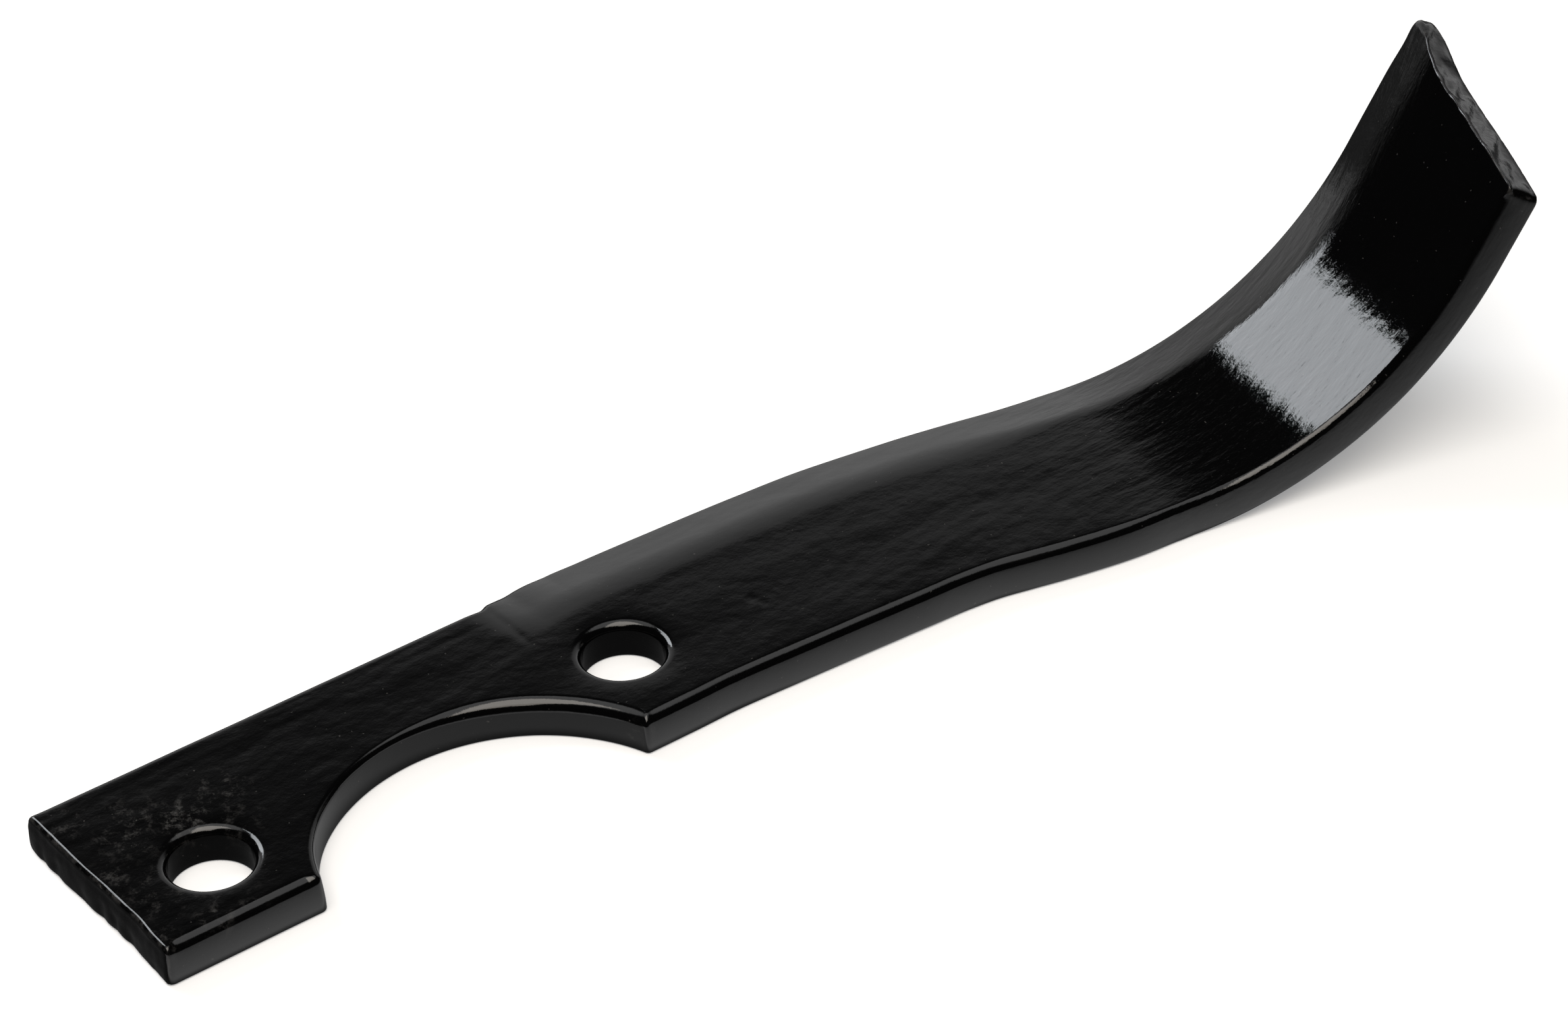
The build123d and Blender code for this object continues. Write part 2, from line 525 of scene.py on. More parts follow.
@dataclass
class Face:
    """Upper face: flat, with a bevel that swells like a spoon and falls to the cutting edge.

    A stretch is a start along the bar and a length.
    """

    outline: Outline
    thickness: float = 6.15
    edge: float = 2.65
    start_edge: float = 5.05
    bevel: float = 12.3
    first_width: float = 1.5
    drawing: float = 15.0
    lead: float = 2.5
    soft_crease: float = 3.6
    sharp_crease: float = 1.3
    tip_crease: float = 5.5
    sharp_stretch: tuple = (108.0, 22.0)
    tip_stretch: tuple = (176.0, 20.0)

    def from_edge(self, flat: Array) -> Array:
        """Distance in from the cutting edge's line: the gap in y times its slope's cosine."""
        x = flat[:, 0]
        slope = self.outline.back_at(x + 0.5) - self.outline.back_at(x - 0.5)
        return (self.outline.back_at(x) - flat[:, 1]) / np.sqrt(1 + slope * slope)

    def drawn(self, x: Array) -> Array:
        """How far the edge is drawn out, from 0 at the bar to 1."""
        return np.clip((x - self.outline.forging_start) / self.drawing, 0.0, 1.0)

    def width(self, x: Array) -> Array:
        """Bevel's width, which grows as a quarter of an ellipse."""
        start, span = self.outline.forging_start - self.lead, self.drawing + self.lead
        drawn = np.clip((x - start) / span, 0.0, 1.0)
        grown = np.sqrt(1.0 - (1.0 - drawn) ** 2)
        return self.first_width + (self.bevel - self.first_width) * grown

    def height(self, flat: Array) -> Array:
        """Height of the upper face over the underside.

        Inside the bevel's width it falls in proportion to the distance past the crease, and a
        parabola joins that slope to the flat over the crease's softness on either side.

        Args:
            flat: Plan points of the flat blade.

        Returns:
            Heights in millimetres.
        """
        x = flat[:, 0]
        drawn, width = self.drawn(x), self.width(x)
        fall = self.thickness - (self.start_edge + (self.edge - self.start_edge) * drawn)
        slope = fall * smooth((x - self.outline.forging_start + 3.0) / 11.0) / width
        start, length = self.sharp_stretch
        tight = smooth((x - start) / length)
        soft = self.soft_crease + (self.sharp_crease - self.soft_crease) * tight
        start, length = self.tip_stretch
        soft += (self.tip_crease - soft) * smooth((x - start) / length)
        soft = np.minimum(soft, 0.95 * width)
        past = width - self.from_edge(flat)
        curve = np.clip(past + soft, 0.0, None) ** 2 / (4 * soft)
        fallen = np.where(past > soft, past, np.where(past < -soft, 0.0, curve))
        return self.thickness - slope * fallen


@dataclass
class Shell:
    """Points and quads gathered from patches whose seams share their points exactly."""

    points: list[Array] = field(default_factory=list)
    quads: list[Array] = field(default_factory=list)
    count: int = 0

    def add(self, grid: Array, closed: bool, flip: bool, keep: Array | None = None) -> None:
        """Add a grid of points as quads.

        Args:
            grid: Points, indexed by the first and the second direction.
            closed: True when the first direction comes back to its start.
            flip: True to turn the quads over.
            keep: Which quads to keep, all of them when it is left out.
        """
        rows, columns = grid.shape[:2]
        index = np.arange(rows * columns).reshape(rows, columns) + self.count
        index = np.vstack([index, index[:1]]) if closed else index
        a, b, c, d = index[:-1, :-1], index[1:, :-1], index[1:, 1:], index[:-1, 1:]
        quads = np.stack([a, d, c, b] if flip else [a, b, c, d], axis=-1)
        quads = quads[keep] if keep is not None else quads.reshape(-1, 4)
        self.points.append(grid.reshape(rows * columns, -1))
        self.quads.append(quads)
        self.count += rows * columns

    def joined(self) -> tuple[Array, Array]:
        """All the points and quads, with points at one place merged into one."""
        points, quads = np.vstack(self.points), np.vstack(self.quads)
        key = np.round(points[:, :3] * 1e4).astype(np.int64)
        _, first, back = np.unique(key, axis=0, return_index=True, return_inverse=True)
        merged = back.reshape(-1)[quads]
        used = np.unique(merged)
        renumber = np.full(len(first), -1)
        renumber[used] = np.arange(len(used))
        return points[first][used], renumber[merged]


def conic(start: Array, corner: Array, stop: Array, steps: int,
          pull: Array | float = 0.7071) -> Array:
    """Round a corner with a rational parabola.

    Args:
        start: First points, one row each.
        corner: Corner points.
        stop: Last points.
        steps: Number of points along each rounding.
        pull: How far the corner draws the curve to itself. Half the root of two gives an arc.

    Returns:
        Points indexed by row and step: the weighted mean of the three.
    """
    t = np.linspace(0.0, 1.0, steps)[None, :, None]
    pull = np.broadcast_to(pull, len(start))[:, None, None]
    a, b, c = (1 - t) ** 2, 2 * t * (1 - t) * pull, t * t
    mixed = a * start[:, None] + b * corner[:, None] + c * stop[:, None]
    return mixed / (a + b + c)


def with_height(flat: Array, height: Array | float) -> Array:
    """Plan points with a height as their third column."""
    return np.column_stack([flat, np.broadcast_to(height, len(flat))])


@dataclass
class Hole:
    """Punched bolt hole, whose upper rim rolls over."""

    centre: tuple[float, float]
    radius: float = 6.5
    roll: float = 1.55
    depth: float = 1.3
    pull: float = 0.8
    low_rim: float = 0.3
    block: float = 9.3

    def sleeve(self, ring: Array, top: Array) -> Array:
        """Surface from a ring on the upper face, over the rim, down the wall and out below.

        Args:
            ring: Plan points round the hole, in order.
            top: Their heights on the upper face.

        Returns:
            Points indexed by ring and by step.
        """
        centre = np.array(self.centre)
        away = ring - centre
        reach = np.linalg.norm(away, axis=1)
        way = away / reach[:, None]

        def circle(radius: Array | float, height: Array | float) -> Array:
            """Points at a radius from the hole's axis."""
            return with_height(centre + way * np.broadcast_to(radius, len(way))[:, None], height)

        r, low = self.radius, self.low_rim
        roll, foot = r + self.roll, r + low
        spokes = [circle(roll + (reach - roll) * t, top) for t in (0.6, 0.3, 0.1)]
        upper = conic(circle(roll, top), circle(r, top), circle(r, top - self.depth), 12, self.pull)
        wall = [circle(r, low + (top - self.depth - low) * t) for t in (0.75, 0.5, 0.25)]
        lower = conic(circle(r, low), circle(r, 0.0), circle(foot, 0.0), 4)
        out = [circle(foot + (reach - foot) * t, 0.0) for t in (0.2, 0.6)]
        parts = [with_height(ring, top)[:, None], np.stack(spokes, 1), upper, np.stack(wall, 1),
                 lower, np.stack(out, 1), with_height(ring, 0.0)[:, None]]
        return np.concatenate(parts, axis=1)


@dataclass
class ForgedBlade:
    """The blade itself, from its outline, its upper face, its holes and its bend."""

    bend: Bend
    outline: Outline
    face: Face
    holes: tuple[Hole, ...]
    pits: tuple = (
        ((60.5, -0.7, 6.15), 0.55, 0.06), ((61.4, -2.9, 6.15), 0.45, 0.05),
        ((171.0, -3.6, 6.15), 0.50, 0.05), ((63.5, -1.6, 6.15), 0.35, 0.04),
    )
    upper_steps: int = 17
    wall_steps: int = 7
    lower_steps: int = 6
    fade_along: float = 0.006
    fade_across: float = 0.08
    long_ripple: Ripple = Ripple(11, 30.0, 9.0, stretch=2.6, height=0.014)
    short_ripple: Ripple = Ripple(12, 6.0, 2.4, stretch=2.2, height=0.0045)
    streaks: Ripple = Ripple(16, 5.0, 1.6, stretch=9.0, height=0.006)
    dish: tuple = (0.16, 1.7)
    chatter: Ripple = Ripple(13, 5.0, 1.4, waves=40, height=0.05)
    scallop: float = 0.30
    shank_groove: tuple = (0.10, 4.9, 0.45)
    facets: Ripple = Ripple(14, 8.0, 3.2, waves=12, height=2.0)
    facet_depth: float = 0.22
    tip_groove: tuple = (0.08, 5.15, 0.5)
    nicks: Ripple = Ripple(15, 4.0, 1.0, height=0.4)
    burr: float = 0.16

    def flat_mesh(self) -> tuple[Array, Array]:
        """The blade before it is bent: points with the mark of the sheared ends, and quads."""
        line = self.outline
        sides = line.places()
        loop = np.concatenate([side[:-1] for side in sides])
        rim = self.rim(loop)
        inner = [self.inset(side, line.top_rim) for side in sides]
        inner_low = [self.inset(side, line.low_rim) for side in sides]
        upper, lower = self.patch(*inner), self.patch(*inner_low)
        shell = Shell()
        shell.add(rim, closed=True, flip=True)
        keep = np.ones((upper.shape[0] - 1, upper.shape[1] - 1), bool)
        for hole in self.holes:
            ring_top, ring_low, block = self.ring(upper, lower, hole)
            keep[block] = False
            sleeve = hole.sleeve(ring_top, self.face.height(ring_top))
            sleeve[:, -1, :2] = ring_low
            shell.add(self.marked(sleeve, 0.0), closed=True, flip=False)
        rows = upper.shape[1]
        top = self.face.height(upper.reshape(-1, 2)).reshape(-1, rows, 1)
        shell.add(self.marked(np.concatenate([upper, top], 2), 0.0), False, False, keep)
        floor = np.zeros_like(top)
        shell.add(self.marked(np.concatenate([lower, floor], 2), 0.0), False, True, keep)
        return shell.joined()

    def marked(self, grid: Array, sheared: Array | float) -> Array:
        """A grid of points with a fourth column that marks the sheared ends."""
        mark = np.broadcast_to(sheared, grid.shape[:2])[..., None]
        return np.concatenate([grid, mark], axis=2)

    def inset(self, place: Array, rim: Array) -> Array:
        """Plan points of the line where a rim's rounding ends on the flat."""
        line = self.outline
        reach = line.at(rim, place)[:, None]
        return line.at(line.loop, place) + line.at(line.inward, place) * reach

    def rim(self, place: Array) -> Array:
        """Band round the blade's outline: upper rounding, wall and lower rounding.

        Both roundings shrink where the edge is thin. The wall's lean falls off as a parabola,
        and the upper rounding starts with its slope.

        Args:
            place: Loop indices all the way round.

        Returns:
            Points with the mark of the sheared ends, indexed by place and by step.
        """
        line = self.outline
        out = line.at(line.loop, place)
        inner, inner_low = self.inset(place, line.top_rim), self.inset(place, line.low_rim)
        depth, lift, pull, barrel = line.at(line.roundings, place)[:, 2:].T
        way = line.at(line.inward, place)
        edge = self.face.height(out)
        slender = np.minimum(1.0, (edge - 0.1) / (depth + lift))
        depth, lift = depth * slender, lift * slender
        lean = 2 * barrel / np.maximum(edge - depth - lift, 0.5)
        shoulder = out + way * barrel[:, None]
        corner = out + way * (barrel + lean * depth)[:, None]
        upper = conic(with_height(inner, self.face.height(inner)),
                      with_height(corner, self.face.height(corner)),
                      with_height(shoulder, edge - depth), self.upper_steps, pull)
        t = np.linspace(0.0, 1.0, self.wall_steps + 2)[None, 1:-1, None]
        wall = (with_height(out, edge - depth)[:, None] * (1 - t)
                + with_height(out, lift)[:, None] * t)
        wall[..., :2] += way[:, None] * (barrel[:, None, None] * (1 - t) ** 2)
        lower = conic(with_height(out, lift), with_height(out, 0.0), with_height(inner_low, 0.0),
                      self.lower_steps, pull)
        band = np.concatenate([upper, wall, lower], axis=1)
        down = np.concatenate([np.linspace(0, 1, self.upper_steps), np.ones(self.wall_steps),
                               np.linspace(1, 0, self.lower_steps)])
        return self.marked(band, line.at(line.sheared, place)[:, None] * down)

    def patch(self, front: Array, tip: Array, back: Array, shank: Array) -> Array:
        """Fill four sides, which run on from one another, with a grid.

        Straight rows join the front and the back. Each end's departure from straight is then
        added, and fades with distance: at once along the end's line, slowly across it.

        Args:
            front: Points of the front side.
            tip: Points of the tip's end.
            back: Points of the back side.
            shank: Points of the shank's end.

        Returns:
            Points indexed along the blade and across it.
        """
        back, shank = back[::-1], shank[::-1]
        u = np.linspace(0.0, 1.0, len(front))[:, None, None]
        v = np.linspace(0.0, 1.0, len(tip))[None, :, None]
        grid = (1 - v) * front[:, None] + v * back[:, None]
        for end, away in ((shank, u), (tip, 1 - u)):
            departure = end - ((1 - v[0]) * end[0] + v[0] * end[-1])
            way = (end[-1] - end[0]) / np.linalg.norm(end[-1] - end[0])
            along = (departure @ way)[:, None] * way
            grid = grid + along * smooth(1 - away / self.fade_along)
            grid = grid + (departure - along) * smooth(1 - away / self.fade_across)
        grid[:, 0], grid[:, -1], grid[0], grid[-1] = front, back, shank, tip
        return grid

    def ring(self, upper: Array, lower: Array, hole: Hole) -> tuple:
        """Block of the grid round a hole.

        Args:
            upper: Grid of plan points on the upper face.
            lower: Grid of plan points on the underside.
            hole: The hole.

        Returns:
            The block's border on the upper face and on the underside, and its quads.
        """
        centre = np.array(hole.centre)
        away = np.linalg.norm(upper - centre, axis=2)
        mid_i, mid_j = np.unravel_index(away.argmin(), away.shape)
        i = np.where(np.abs(upper[:, mid_j, 0] - centre[0]) < hole.block)[0]
        j = np.where(np.abs(upper[mid_i, :, 1] - centre[1]) < hole.block)[0]
        i0, i1, j0, j1 = i[0], i[-1], j[0], j[-1]
        legs = [(np.arange(i0, i1), j0), (i1, np.arange(j0, j1)),
                (np.arange(i1, i0, -1), j1), (i0, np.arange(j1, j0, -1))]
        at = tuple(np.concatenate([np.stack(np.broadcast_arrays(*leg)) for leg in legs], axis=1))
        log.info("hole ring: %d points, nearest %.2f mm", len(at[0]), away[at].min())
        return upper[at], lower[at], (slice(i0, i1), slice(j0, j1))

    def normals(self, points: Array, quads: Array) -> Array:
        """Unit normals: each quad's crossed diagonals, summed at its corners.

        Args:
            points: Corners of the quads.
            quads: Rows of four indices.

        Returns:
            One normal a point.
        """
        p = points[quads]
        face = np.cross(p[:, 2] - p[:, 0], p[:, 3] - p[:, 1])
        out = np.zeros_like(points)
        for k in range(3):
            out[:, k] = np.bincount(quads.ravel(), np.repeat(face[:, k], 4), len(points))
        return out / (np.linalg.norm(out, axis=1)[:, None] + 1e-12)

    def forged(self, points: Array) -> Array:
        """Relief of the faces.

        Long ripples run lengthwise, shorter ones cross them and fine streaks follow the bevel.
        The face dips to each hole's rim by an exponential of the distance out, and to each pit
        by a bell.

        Args:
            points: Flat places with their heights.

        Returns:
            Distances in millimetres, outwards.
        """
        plan = points[:, :2]
        bevel = smooth(1.0 - self.face.from_edge(plan) / 12.0)
        relief = self.long_ripple.at(plan) + self.short_ripple.at(plan)
        relief += self.streaks.at(plan) * bevel
        upper = smooth((points[:, 2] - 4.6) / 1.2)
        depth, reach = self.dish
        for hole in self.holes:
            out = np.linalg.norm(plan - np.array(hole.centre), axis=1) - hole.radius
            relief -= depth * np.exp(-np.maximum(out, 0.0) / reach) * upper
        for place, size, sunk in self.pits:
            away = np.linalg.norm(points - np.array(place), axis=1)
            relief -= sunk * bump(away / size)
        return relief

    def shank_shear(self, points: Array) -> Array:
        """Relief of the shank's sheared end.

        Scallops, the size of a sine whose phase sways with another sine, deepen towards the
        lower rim. A bell-shaped groove runs under the upper rim, and chatter covers it all.

        Args:
            points: Flat places with their heights.

        Returns:
            Distances in millimetres, outwards.
        """
        _, y, h = points.T
        scallops = np.abs(np.sin(y * 0.62 + 0.9 * np.sin(y * 0.31) + 0.4)) - 0.75
        depth, level, width = self.shank_groove
        relief = self.scallop * scallops * smooth((4.2 - h) / 3.0)
        return relief - depth * bump((h - level) / width) + self.chatter.at(points)

    def tip_shear(self, points: Array, sheared: Array) -> Array:
        """Relief of the tip's sheared end.

        Slanted facets are the hyperbolic tangent of a slow field. A bell-shaped groove lies
        under the upper rim, where a nicked burr stands out, and the whole end is set back by it.

        Args:
            points: Flat places with their heights.
            sheared: Mark of the sheared ends, by which the burr finds the rim.

        Returns:
            Distances in millimetres, outwards.
        """
        x, y, h = points.T
        facets = self.facets.at(np.column_stack([x, y + 1.1 * h, 0.4 * h]))
        depth, level, width = self.tip_groove
        relief = self.facet_depth * np.tanh(facets) * smooth((h - 0.3) / 1.5)
        relief -= depth * bump((h - level) / width)
        burr = bump((sheared - 0.45) / 0.22) * (0.6 + self.nicks.at(points[:, :2]))
        return relief + self.burr * burr - self.burr

    def worn(self, points: Array, sheared: Array) -> Array:
        """How far the forging and the shears moved each point along its normal.

        Args:
            points: Flat places with their heights.
            sheared: Mark of the sheared ends, which rises from 0 to 1 over their rims.

        Returns:
            Distances in millimetres, outwards: the faces' relief, mixed with the ends' by the mark.
        """
        tip = smooth((points[:, 0] - 150.0) / 10.0)
        ends = self.shank_shear(points) * (1 - tip) + self.tip_shear(points, sheared) * tip
        return self.forged(points) * (1 - sheared) + sheared * ends

    def build(self) -> bpy.types.Object:
        """Make the blade's mesh in its place, bent, with its marks as attributes."""
        made, quads = self.flat_mesh()
        flat, sheared = made[:, :3], made[:, 3]
        normal = self.normals(flat, quads)
        moved = flat + normal * self.worn(flat, sheared)[:, None]
        moved[:, 2] = np.maximum(moved[:, 2], 0.0)
        points = self.bend.roll(moved) * MM
        low, high = np.array(CAD_BOX[0]), np.array(CAD_BOX[1])
        points = np.clip(points, low, high)
        mesh = bpy.data.meshes.new("forged_blade")
        mesh.from_pydata(points.tolist(), [], quads.tolist())
        mesh.update()
        mesh.shade_smooth()
        past_edge = self.face.width(flat[:, 0]) - self.face.from_edge(flat[:, :2])
        bevel = smooth(past_edge / 2.0 + 0.5) * smooth((flat[:, 0] - 26.0) / 2.0)
        self.mark(mesh, "sheared", sheared)
        self.mark(mesh, "bevel", bevel)
        place = mesh.attributes.new("flat", "FLOAT_VECTOR", "POINT")
        place.data.foreach_set("vector", (flat * MM).astype(np.float32).ravel())
        return placed("forged_blade", mesh)

    def mark(self, mesh: bpy.types.Mesh, name: str, values: Array) -> None:
        """Store one number a point as an attribute."""
        layer = mesh.attributes.new(name, "FLOAT", "POINT")
        layer.data.foreach_set("value", values.astype(np.float32))


class Nodes:
    """Short way to write a node tree: nodes by type, their settings and their links."""

    def __init__(self, owner: bpy.types.Material | bpy.types.World) -> None:
        """Switch the owner's nodes on, and clear and keep their tree."""
        owner.use_nodes = True
        self.tree = owner.node_tree
        self.tree.nodes.clear()

    def add(self, kind: str, inputs: dict | None = None, **settings: object) -> bpy.types.Node:
        """Add a node.

        Args:
            kind: The node's type, without its ShaderNode start.
            inputs: Values or sockets for its inputs, by name or number.
            settings: Attributes of the node.

        Returns:
            The node.
        """
        node = self.tree.nodes.new("ShaderNode" + kind)
        for name, value in settings.items():
            setattr(node, name, value)
        for key, value in (inputs or {}).items():
            if isinstance(value, Socket):
                self.tree.links.new(value, node.inputs[key])
            else:
                node.inputs[key].default_value = value
        return node

    def math(self, operation: str, *values: object) -> Socket:
        """Result of a Math node on values or sockets."""
        return self.add("Math", dict(enumerate(values)), operation=operation).outputs[0]

    def ramp(self, value: Socket, low: float, high: float,
             start: float = 0.0, stop: float = 1.0) -> Socket:
        """Ease a value from start to stop as it goes from low to high."""
        node = self.add("MapRange", {"Value": value, "From Min": low, "From Max": high,
                                     "To Min": start, "To Max": stop},
                        interpolation_type="SMOOTHSTEP")
        return node.outputs[0]

    def total(self, first: object, *more: object) -> Socket:
        """Sum of values or sockets, added one after the other."""
        for value in more:
            first = self.math("ADD", first, value)
        return first

    def times(self, first: object, *more: object) -> Socket:
        """Product of values or sockets, multiplied one after the other."""
        for value in more:
            first = self.math("MULTIPLY", first, value)
        return first

    def fade(self, away: Socket, reach: float) -> Socket:
        """Exponential of minus the distance over the reach, 1 where the distance is negative."""
        out = self.math("MAXIMUM", away, 0.0)
        return self.math("POWER", 2.718, self.math("DIVIDE", out, -reach))

    def distance(self, place: Socket, centre: tuple) -> Socket:
        """Distance of a place from a centre, in metres."""
        node = self.add("VectorMath", {0: place, 1: centre}, operation="DISTANCE")
        return node.outputs["Value"]

    def seen(self) -> Socket:
        """1 for rays that come from the camera, straight or through glass."""
        path = self.add("LightPath").outputs
        return self.math("MAXIMUM", path["Is Camera Ray"], path["Is Transmission Ray"])

    def mix(self, share: object, first: object, second: object) -> Socket:
        """Mix two colours by a share."""
        return self.add("Mix", {0: share, 6: first, 7: second}, data_type="RGBA").outputs[2]

    def noise(self, place: Socket, scale: float, detail: float, roughness: float,
              stretch: float = 1.0) -> Socket:
        """Noise, 0 to 1, of some cycles a metre and octaves, stretched along the bar."""
        if stretch != 1.0:
            place = self.add("Mapping", {"Vector": place, "Scale": (stretch, 1, 1)}).outputs[0]
        return self.add("TexNoise", {"Vector": place, "Scale": scale, "Detail": detail,
                                     "Roughness": roughness}).outputs["Fac"]


@dataclass(frozen=True)
class BlackPaint:
    """Glossy black paint over forged scale, scuffed at the rims and thin on the sheared ends.

    Each noise is its scale, octaves, their fall-off and its stretch, and a cut is the levels
    between which it eases in. Each smudge is a place in millimetres, its reach and its level.
    """

    colour: tuple = (0.0010, 0.0010, 0.0011, 1.0)
    dust: tuple = (0.30, 0.29, 0.28, 1.0)
    comb: tuple = (500.0, 5.0, 0.60, 0.26)
    scale: tuple = (260.0, 5.0, 0.58, 0.8)
    grain: tuple = (5200.0, 2.0, 0.5)
    specks: tuple = (1500.0, 1.0, 0.5)
    torn: tuple = (520.0, 9.0, 0.76)
    ragged: tuple = (420.0, 5.0, 0.6)
    scale_cut: tuple = (0.35, 0.70)
    speck_cut: tuple = (0.765, 0.80)
    torn_cut: tuple = (0.50, 0.68)
    ragged_cut: tuple = (0.42, 0.60)
    bend_span: tuple = (0.105, 0.145)
    speck_share: float = 0.12
    gloss: tuple = (0.035, 0.06)
    bar_haze: float = 0.055
    bevel_haze: float = 0.05
    scuff_haze: float = 0.8
    bar_comb: float = 0.02
    bend_comb: float = 1.9
    scale_height: float = 0.85
    grain_height: float = 0.05
    relief: float = 0.000055
    rubbed: float = 0.08
    smudges: tuple = (
        ((-43.0, 12.0, 6.0), 10.0, 0.10), ((-36.0, 9.0, 6.0), 7.0, 0.16),
        ((-47.0, -3.0, 6.0), 9.0, 0.08), ((-28.0, 11.0, 6.0), 7.0, 0.10),
        ((-30.0, 4.0, 6.0), 7.0, 0.06), ((-51.5, 19.0, 6.0), 7.0, 0.09),
        ((-40.0, -11.0, 6.0), 7.0, 0.05), ((-52.0, 4.0, 6.0), 6.0, 0.10),
        ((-53.0, -12.0, 6.0), 5.0, 0.10), ((-44.0, -13.0, 6.0), 4.0, 0.12),
        ((28.5, -15.0, 4.0), 4.0, 0.20),
    )

    def make(self) -> bpy.types.Material:
        """Build the paint's nodes on the flat blade's coordinates."""
        material = bpy.data.materials.new("black_paint")
        n = Nodes(material)
        flat = n.add("Attribute", attribute_name="flat").outputs["Vector"]
        sheared = n.add("Attribute", attribute_name="sheared").outputs["Fac"]
        bevel = n.add("Attribute", attribute_name="bevel").outputs["Fac"]
        scuff = self.scuffs(n, flat, sheared)
        specks = n.ramp(n.noise(flat, *self.specks), *self.speck_cut)
        colour = n.mix(n.times(specks, self.speck_share), self.colour, self.dust)
        bent = n.ramp(n.add("SeparateXYZ", {0: flat}).outputs[0], *self.bend_span)
        scale = n.noise(flat, *self.scale)
        rough = n.total(n.ramp(scale, *self.scale_cut, *self.gloss),
                        n.times(n.math("SUBTRACT", 1.0, bent), self.bar_haze),
                        n.times(bevel, self.bevel_haze), n.times(scuff, self.scuff_haze))
        depth = n.total(self.bar_comb, n.times(bent, self.bend_comb))
        height = n.total(n.times(n.noise(flat, *self.comb), depth),
                         n.times(scale, self.scale_height),
                         n.times(n.noise(flat, *self.grain), self.grain_height))
        bumps = n.add("Bump", {"Height": height, "Strength": 1.0, "Distance": self.relief})
        shader = n.add("BsdfPrincipled", {
            "Base Color": n.mix(scuff, colour, self.dust), "Roughness": rough,
            "Normal": bumps.outputs[0], "Specular IOR Level": 0.5, "IOR": 1.5,
        })
        n.add("OutputMaterial", {"Surface": shader.outputs[0]})
        return material

    def scuffs(self, n: Nodes, flat: Socket, sheared: Socket) -> Socket:
        """Pale smudges on the faces and rubbed rims on the sheared ends.

        Each smudge is a soft ball round a place, times a torn noise.

        Args:
            n: The paint's nodes.
            flat: Place on the flat blade.
            sheared: Mark of the sheared ends.

        Returns:
            How scuffed the paint is, 0 to 1.
        """
        balls = 0.0
        for place, reach, level in self.smudges:
            away = n.distance(flat, tuple(value * MM for value in place))
            ball = n.ramp(away, reach * MM, 0.2 * reach * MM, 0.0, level)
            balls = n.math("MAXIMUM", balls, ball)
        torn = n.ramp(n.noise(flat, *self.torn), *self.torn_cut)
        flush = n.math("SUBTRACT", 1.0, n.ramp(sheared, 0.1, 0.6))
        ragged = n.ramp(n.noise(flat, *self.ragged), *self.ragged_cut)
        rubbed = n.times(n.ramp(sheared, 0.02, 0.25), n.ramp(sheared, 0.75, 0.45), ragged,
                         self.rubbed)
        return n.math("MAXIMUM", n.times(balls, torn, flush), rubbed)


@dataclass(frozen=True)
class Softbox:
    """Rectangular lamp of a given radiance, which the camera doesn't see."""

    name: str
    place: Vector
    aim: Vector
    long_axis: Vector
    size: tuple[float, float]
    radiance: float
    tint: tuple[float, float, float]

    def hang(self) -> None:
        """Add the lamp, facing its aim and turned to its long axis."""
        data = bpy.data.lights.new(self.name, "AREA")
        data.shape = "RECTANGLE"
        data.size, data.size_y = self.size
        data.energy = self.radiance * pi * self.size[0] * self.size[1]
        data.color = self.tint
        back = (self.place - self.aim).normalized()
        side = (self.long_axis - back * self.long_axis.dot(back)).normalized()
        made = placed(self.name, data)
        made.matrix_world = pose(self.place, side, back.cross(side), back)
        made.visible_camera = False


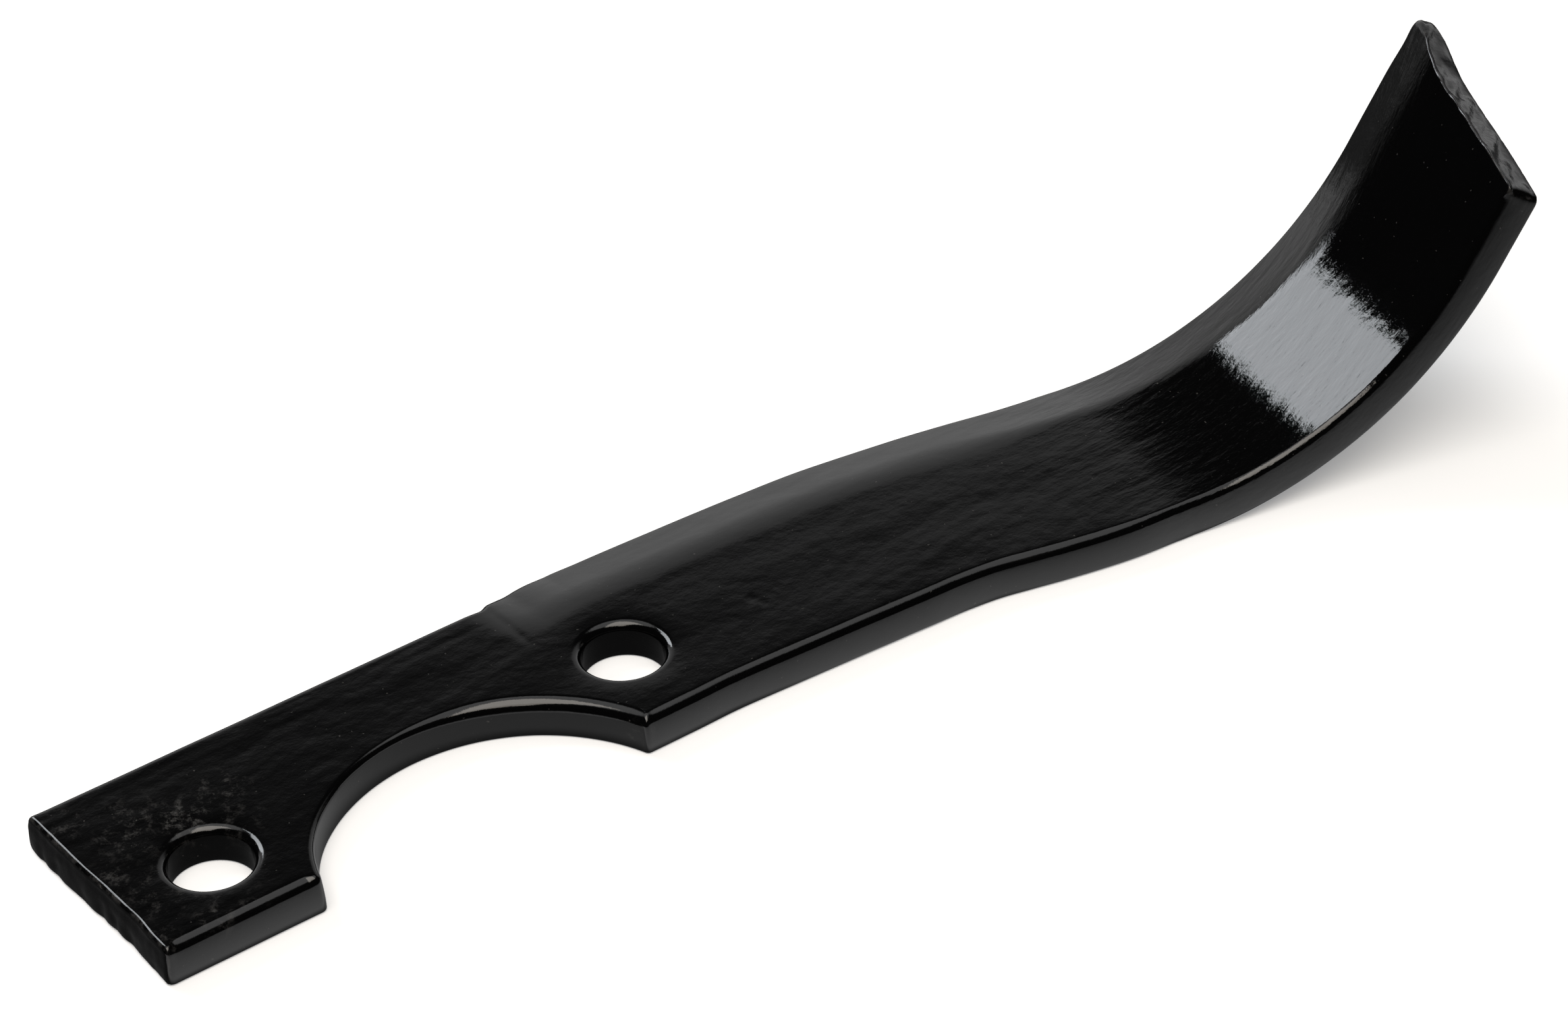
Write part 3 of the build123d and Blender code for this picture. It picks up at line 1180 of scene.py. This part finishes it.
@dataclass(frozen=True)
class Studio:
    """White floor, a room that is bright low down, and soft lamps. Sizes are in metres.

    In reflections the floor glows in a painted pool of light, from no lamp, that starts under
    the blade's front and fades ahead of it, and glows inside the notch.
    """

    floor_size: float = 6.0
    floor_height: float = -0.00005
    floor_colour: float = 0.80
    floor_glow: float = 0.30
    floor_shade: float = 0.08
    pool_start: float = -0.0165
    pool_turn: tuple = (0.08, 0.19)
    pool: tuple = ((0.75, 0.10), (0.30, 0.010))
    notch_centre: tuple = (0.0011, -0.02605, 0.0)
    notch_edge: tuple = (0.0315, 0.0275)
    notch_shine: float = 0.42
    ceiling: float = 1.1
    ceiling_span: tuple = (0.81, 0.87)
    beyond_span: tuple = (-0.15, 0.25)
    left_span: tuple = (-0.30, -0.05)
    shade: float = 0.012
    wall: tuple = (
        (0.0, 0.75), (0.26, 0.55), (0.54, 0.40), (0.582, 0.29), (0.602, 0.11),
        (0.626, 0.04), (0.67, 0.0), (1.0, 0.0),
    )

    def build(self) -> None:
        """Make the floor, the room and the lamps."""
        self.floor()
        self.room()
        for lamp in self.lamps():
            lamp.hang()

    def lamps(self) -> tuple[Softbox, Softbox]:
        """The lamp that the bend mirrors, and the one overhead."""
        bend = Vector((0.155, -0.005, 0.02))
        return (
            Softbox("bend_softbox", bend + Vector((-0.463, 1.938, 1.517)), bend,
                    Vector((-0.907, 0.156, -0.390)), (1.11, 1.10), 6.6, (0.92, 0.96, 1.0)),
            Softbox("overhead_softbox", Vector((-0.34, -0.55, 1.9)), Vector((0.0, 0.0, 0.0)),
                    Vector((1.0, 0.0, 0.0)), (1.4, 1.8), 3.6, (1.0, 0.93, 0.84)),
        )

    def floor(self) -> bpy.types.Object:
        """White floor that takes shadows."""
        corners = np.array([(-1, -1), (1, -1), (1, 1), (-1, 1)]) * self.floor_size / 2
        mesh = bpy.data.meshes.new("floor")
        mesh.from_pydata(with_height(corners, self.floor_height).tolist(), [], [(0, 1, 2, 3)])
        mesh.materials.append(self.floor_white())
        return placed("floor", mesh)

    def floor_white(self) -> bpy.types.Material:
        """Matt white that glows for the camera, and for glossy rays glows in painted pools of
        light.
        """
        material = bpy.data.materials.new("white_floor")
        n = Nodes(material)
        matt = n.add("BsdfDiffuse", {"Color": (self.floor_colour,) * 3 + (1.0,)})
        glow = n.add("Emission", {"Strength": n.times(n.seen(), self.floor_glow)})
        lit = n.add("AddShader", {0: matt.outputs[0], 1: glow.outputs[0]})
        shine = n.add("Emission", {"Strength": self.shine(n)})
        glossy = n.add("LightPath").outputs["Is Glossy Ray"]
        both = n.add("MixShader", {0: glossy, 1: lit.outputs[0], 2: shine.outputs[0]})
        n.add("OutputMaterial", {"Surface": both.outputs[0]})
        return material

    def shine(self, n: Nodes) -> Socket:
        """Radiance of the floor in reflections: a dim level, a painted pool of light and a painted
        notch glow.
        """
        place = n.add("TexCoord").outputs["Object"]
        x, y, _ = n.add("SeparateXYZ", {0: place}).outputs
        turn_from, turn_slope = self.pool_turn
        turned = n.times(n.math("MAXIMUM", n.math("SUBTRACT", x, turn_from), 0.0), turn_slope)
        ahead = n.math("SUBTRACT", self.pool_start, n.total(y, turned))
        # Painted pool of light on the floor ahead of the blade, seen only in reflections.
        fades = [n.times(n.fade(ahead, reach), level) for level, reach in self.pool]
        pool = n.times(n.ramp(ahead, -0.001, 0.001), n.total(*fades))
        # Painted glow on the floor inside the notch, seen only in reflections.
        away = n.distance(place, self.notch_centre)
        notch = n.ramp(away, *self.notch_edge, 0.0, self.notch_shine)
        return n.total(n.math("MAXIMUM", pool, notch), self.floor_shade)

    def room(self) -> None:
        """World with a bright wall beyond the blade, a pale ceiling and the rest in shade.

        The wall's light falls with height along a ramp, and eases out towards the camera and
        towards the left. The camera itself sees white.
        """
        world = bpy.data.worlds.new("studio")
        n = Nodes(world)
        x, y, z = n.add("SeparateXYZ", {0: n.add("TexCoord").outputs["Generated"]}).outputs
        wall = n.add("ValToRGB", {0: z})
        for _ in self.wall[2:]:
            wall.color_ramp.elements.new(0.5)
        for element, (place, level) in zip(wall.color_ramp.elements, self.wall):
            element.position = place
            element.color = (level, level, level, 1.0)
        beyond = n.times(n.ramp(y, *self.beyond_span), n.ramp(x, *self.left_span))
        ceiling = n.ramp(z, *self.ceiling_span, 0.0, self.ceiling)
        light = n.total(ceiling, self.shade, n.times(beyond, wall.outputs[0]))
        dim = n.add("Background", {"Color": (1, 1, 1, 1), "Strength": light})
        white = n.add("Background", {"Color": (1, 1, 1, 1), "Strength": 1.0})
        both = n.add("MixShader", {0: n.seen(), 1: dim.outputs[0], 2: white.outputs[0]})
        n.add("OutputWorld", {"Surface": both.outputs[0]})
        bpy.context.scene.world = world


def report(piece: bpy.types.Object) -> None:
    """Log a piece's faces, and how many edges are open or shared by more than two faces."""
    mesh = piece.data
    edges = np.zeros(len(mesh.edges), int)
    loops = np.zeros(len(mesh.loops), int)
    mesh.loops.foreach_get("edge_index", loops)
    np.add.at(edges, loops, 1)
    log.info("%s: %d faces, %d open edges, %d doubled", piece.name, len(mesh.polygons),
             int((edges == 1).sum()), int((edges > 2).sum()))


def main() -> None:
    """Build the blade, its floor, lights and camera, and report the blade."""
    logging.basicConfig(level=logging.INFO, format="%(message)s")
    Camera().put()
    bend = Bend()
    outline = Outline(bend)
    holes = (Hole((-37.48, -1.21)), Hole((37.48, 1.21)))
    blade = ForgedBlade(bend, outline, Face(outline), holes).build()
    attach(blade, "root")
    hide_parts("blade")
    blade.data.materials.append(BlackPaint().make())
    report(blade)
    Studio().build()
    bpy.context.scene.view_settings.view_transform = "Standard"


if __name__ == "__main__":
    main()
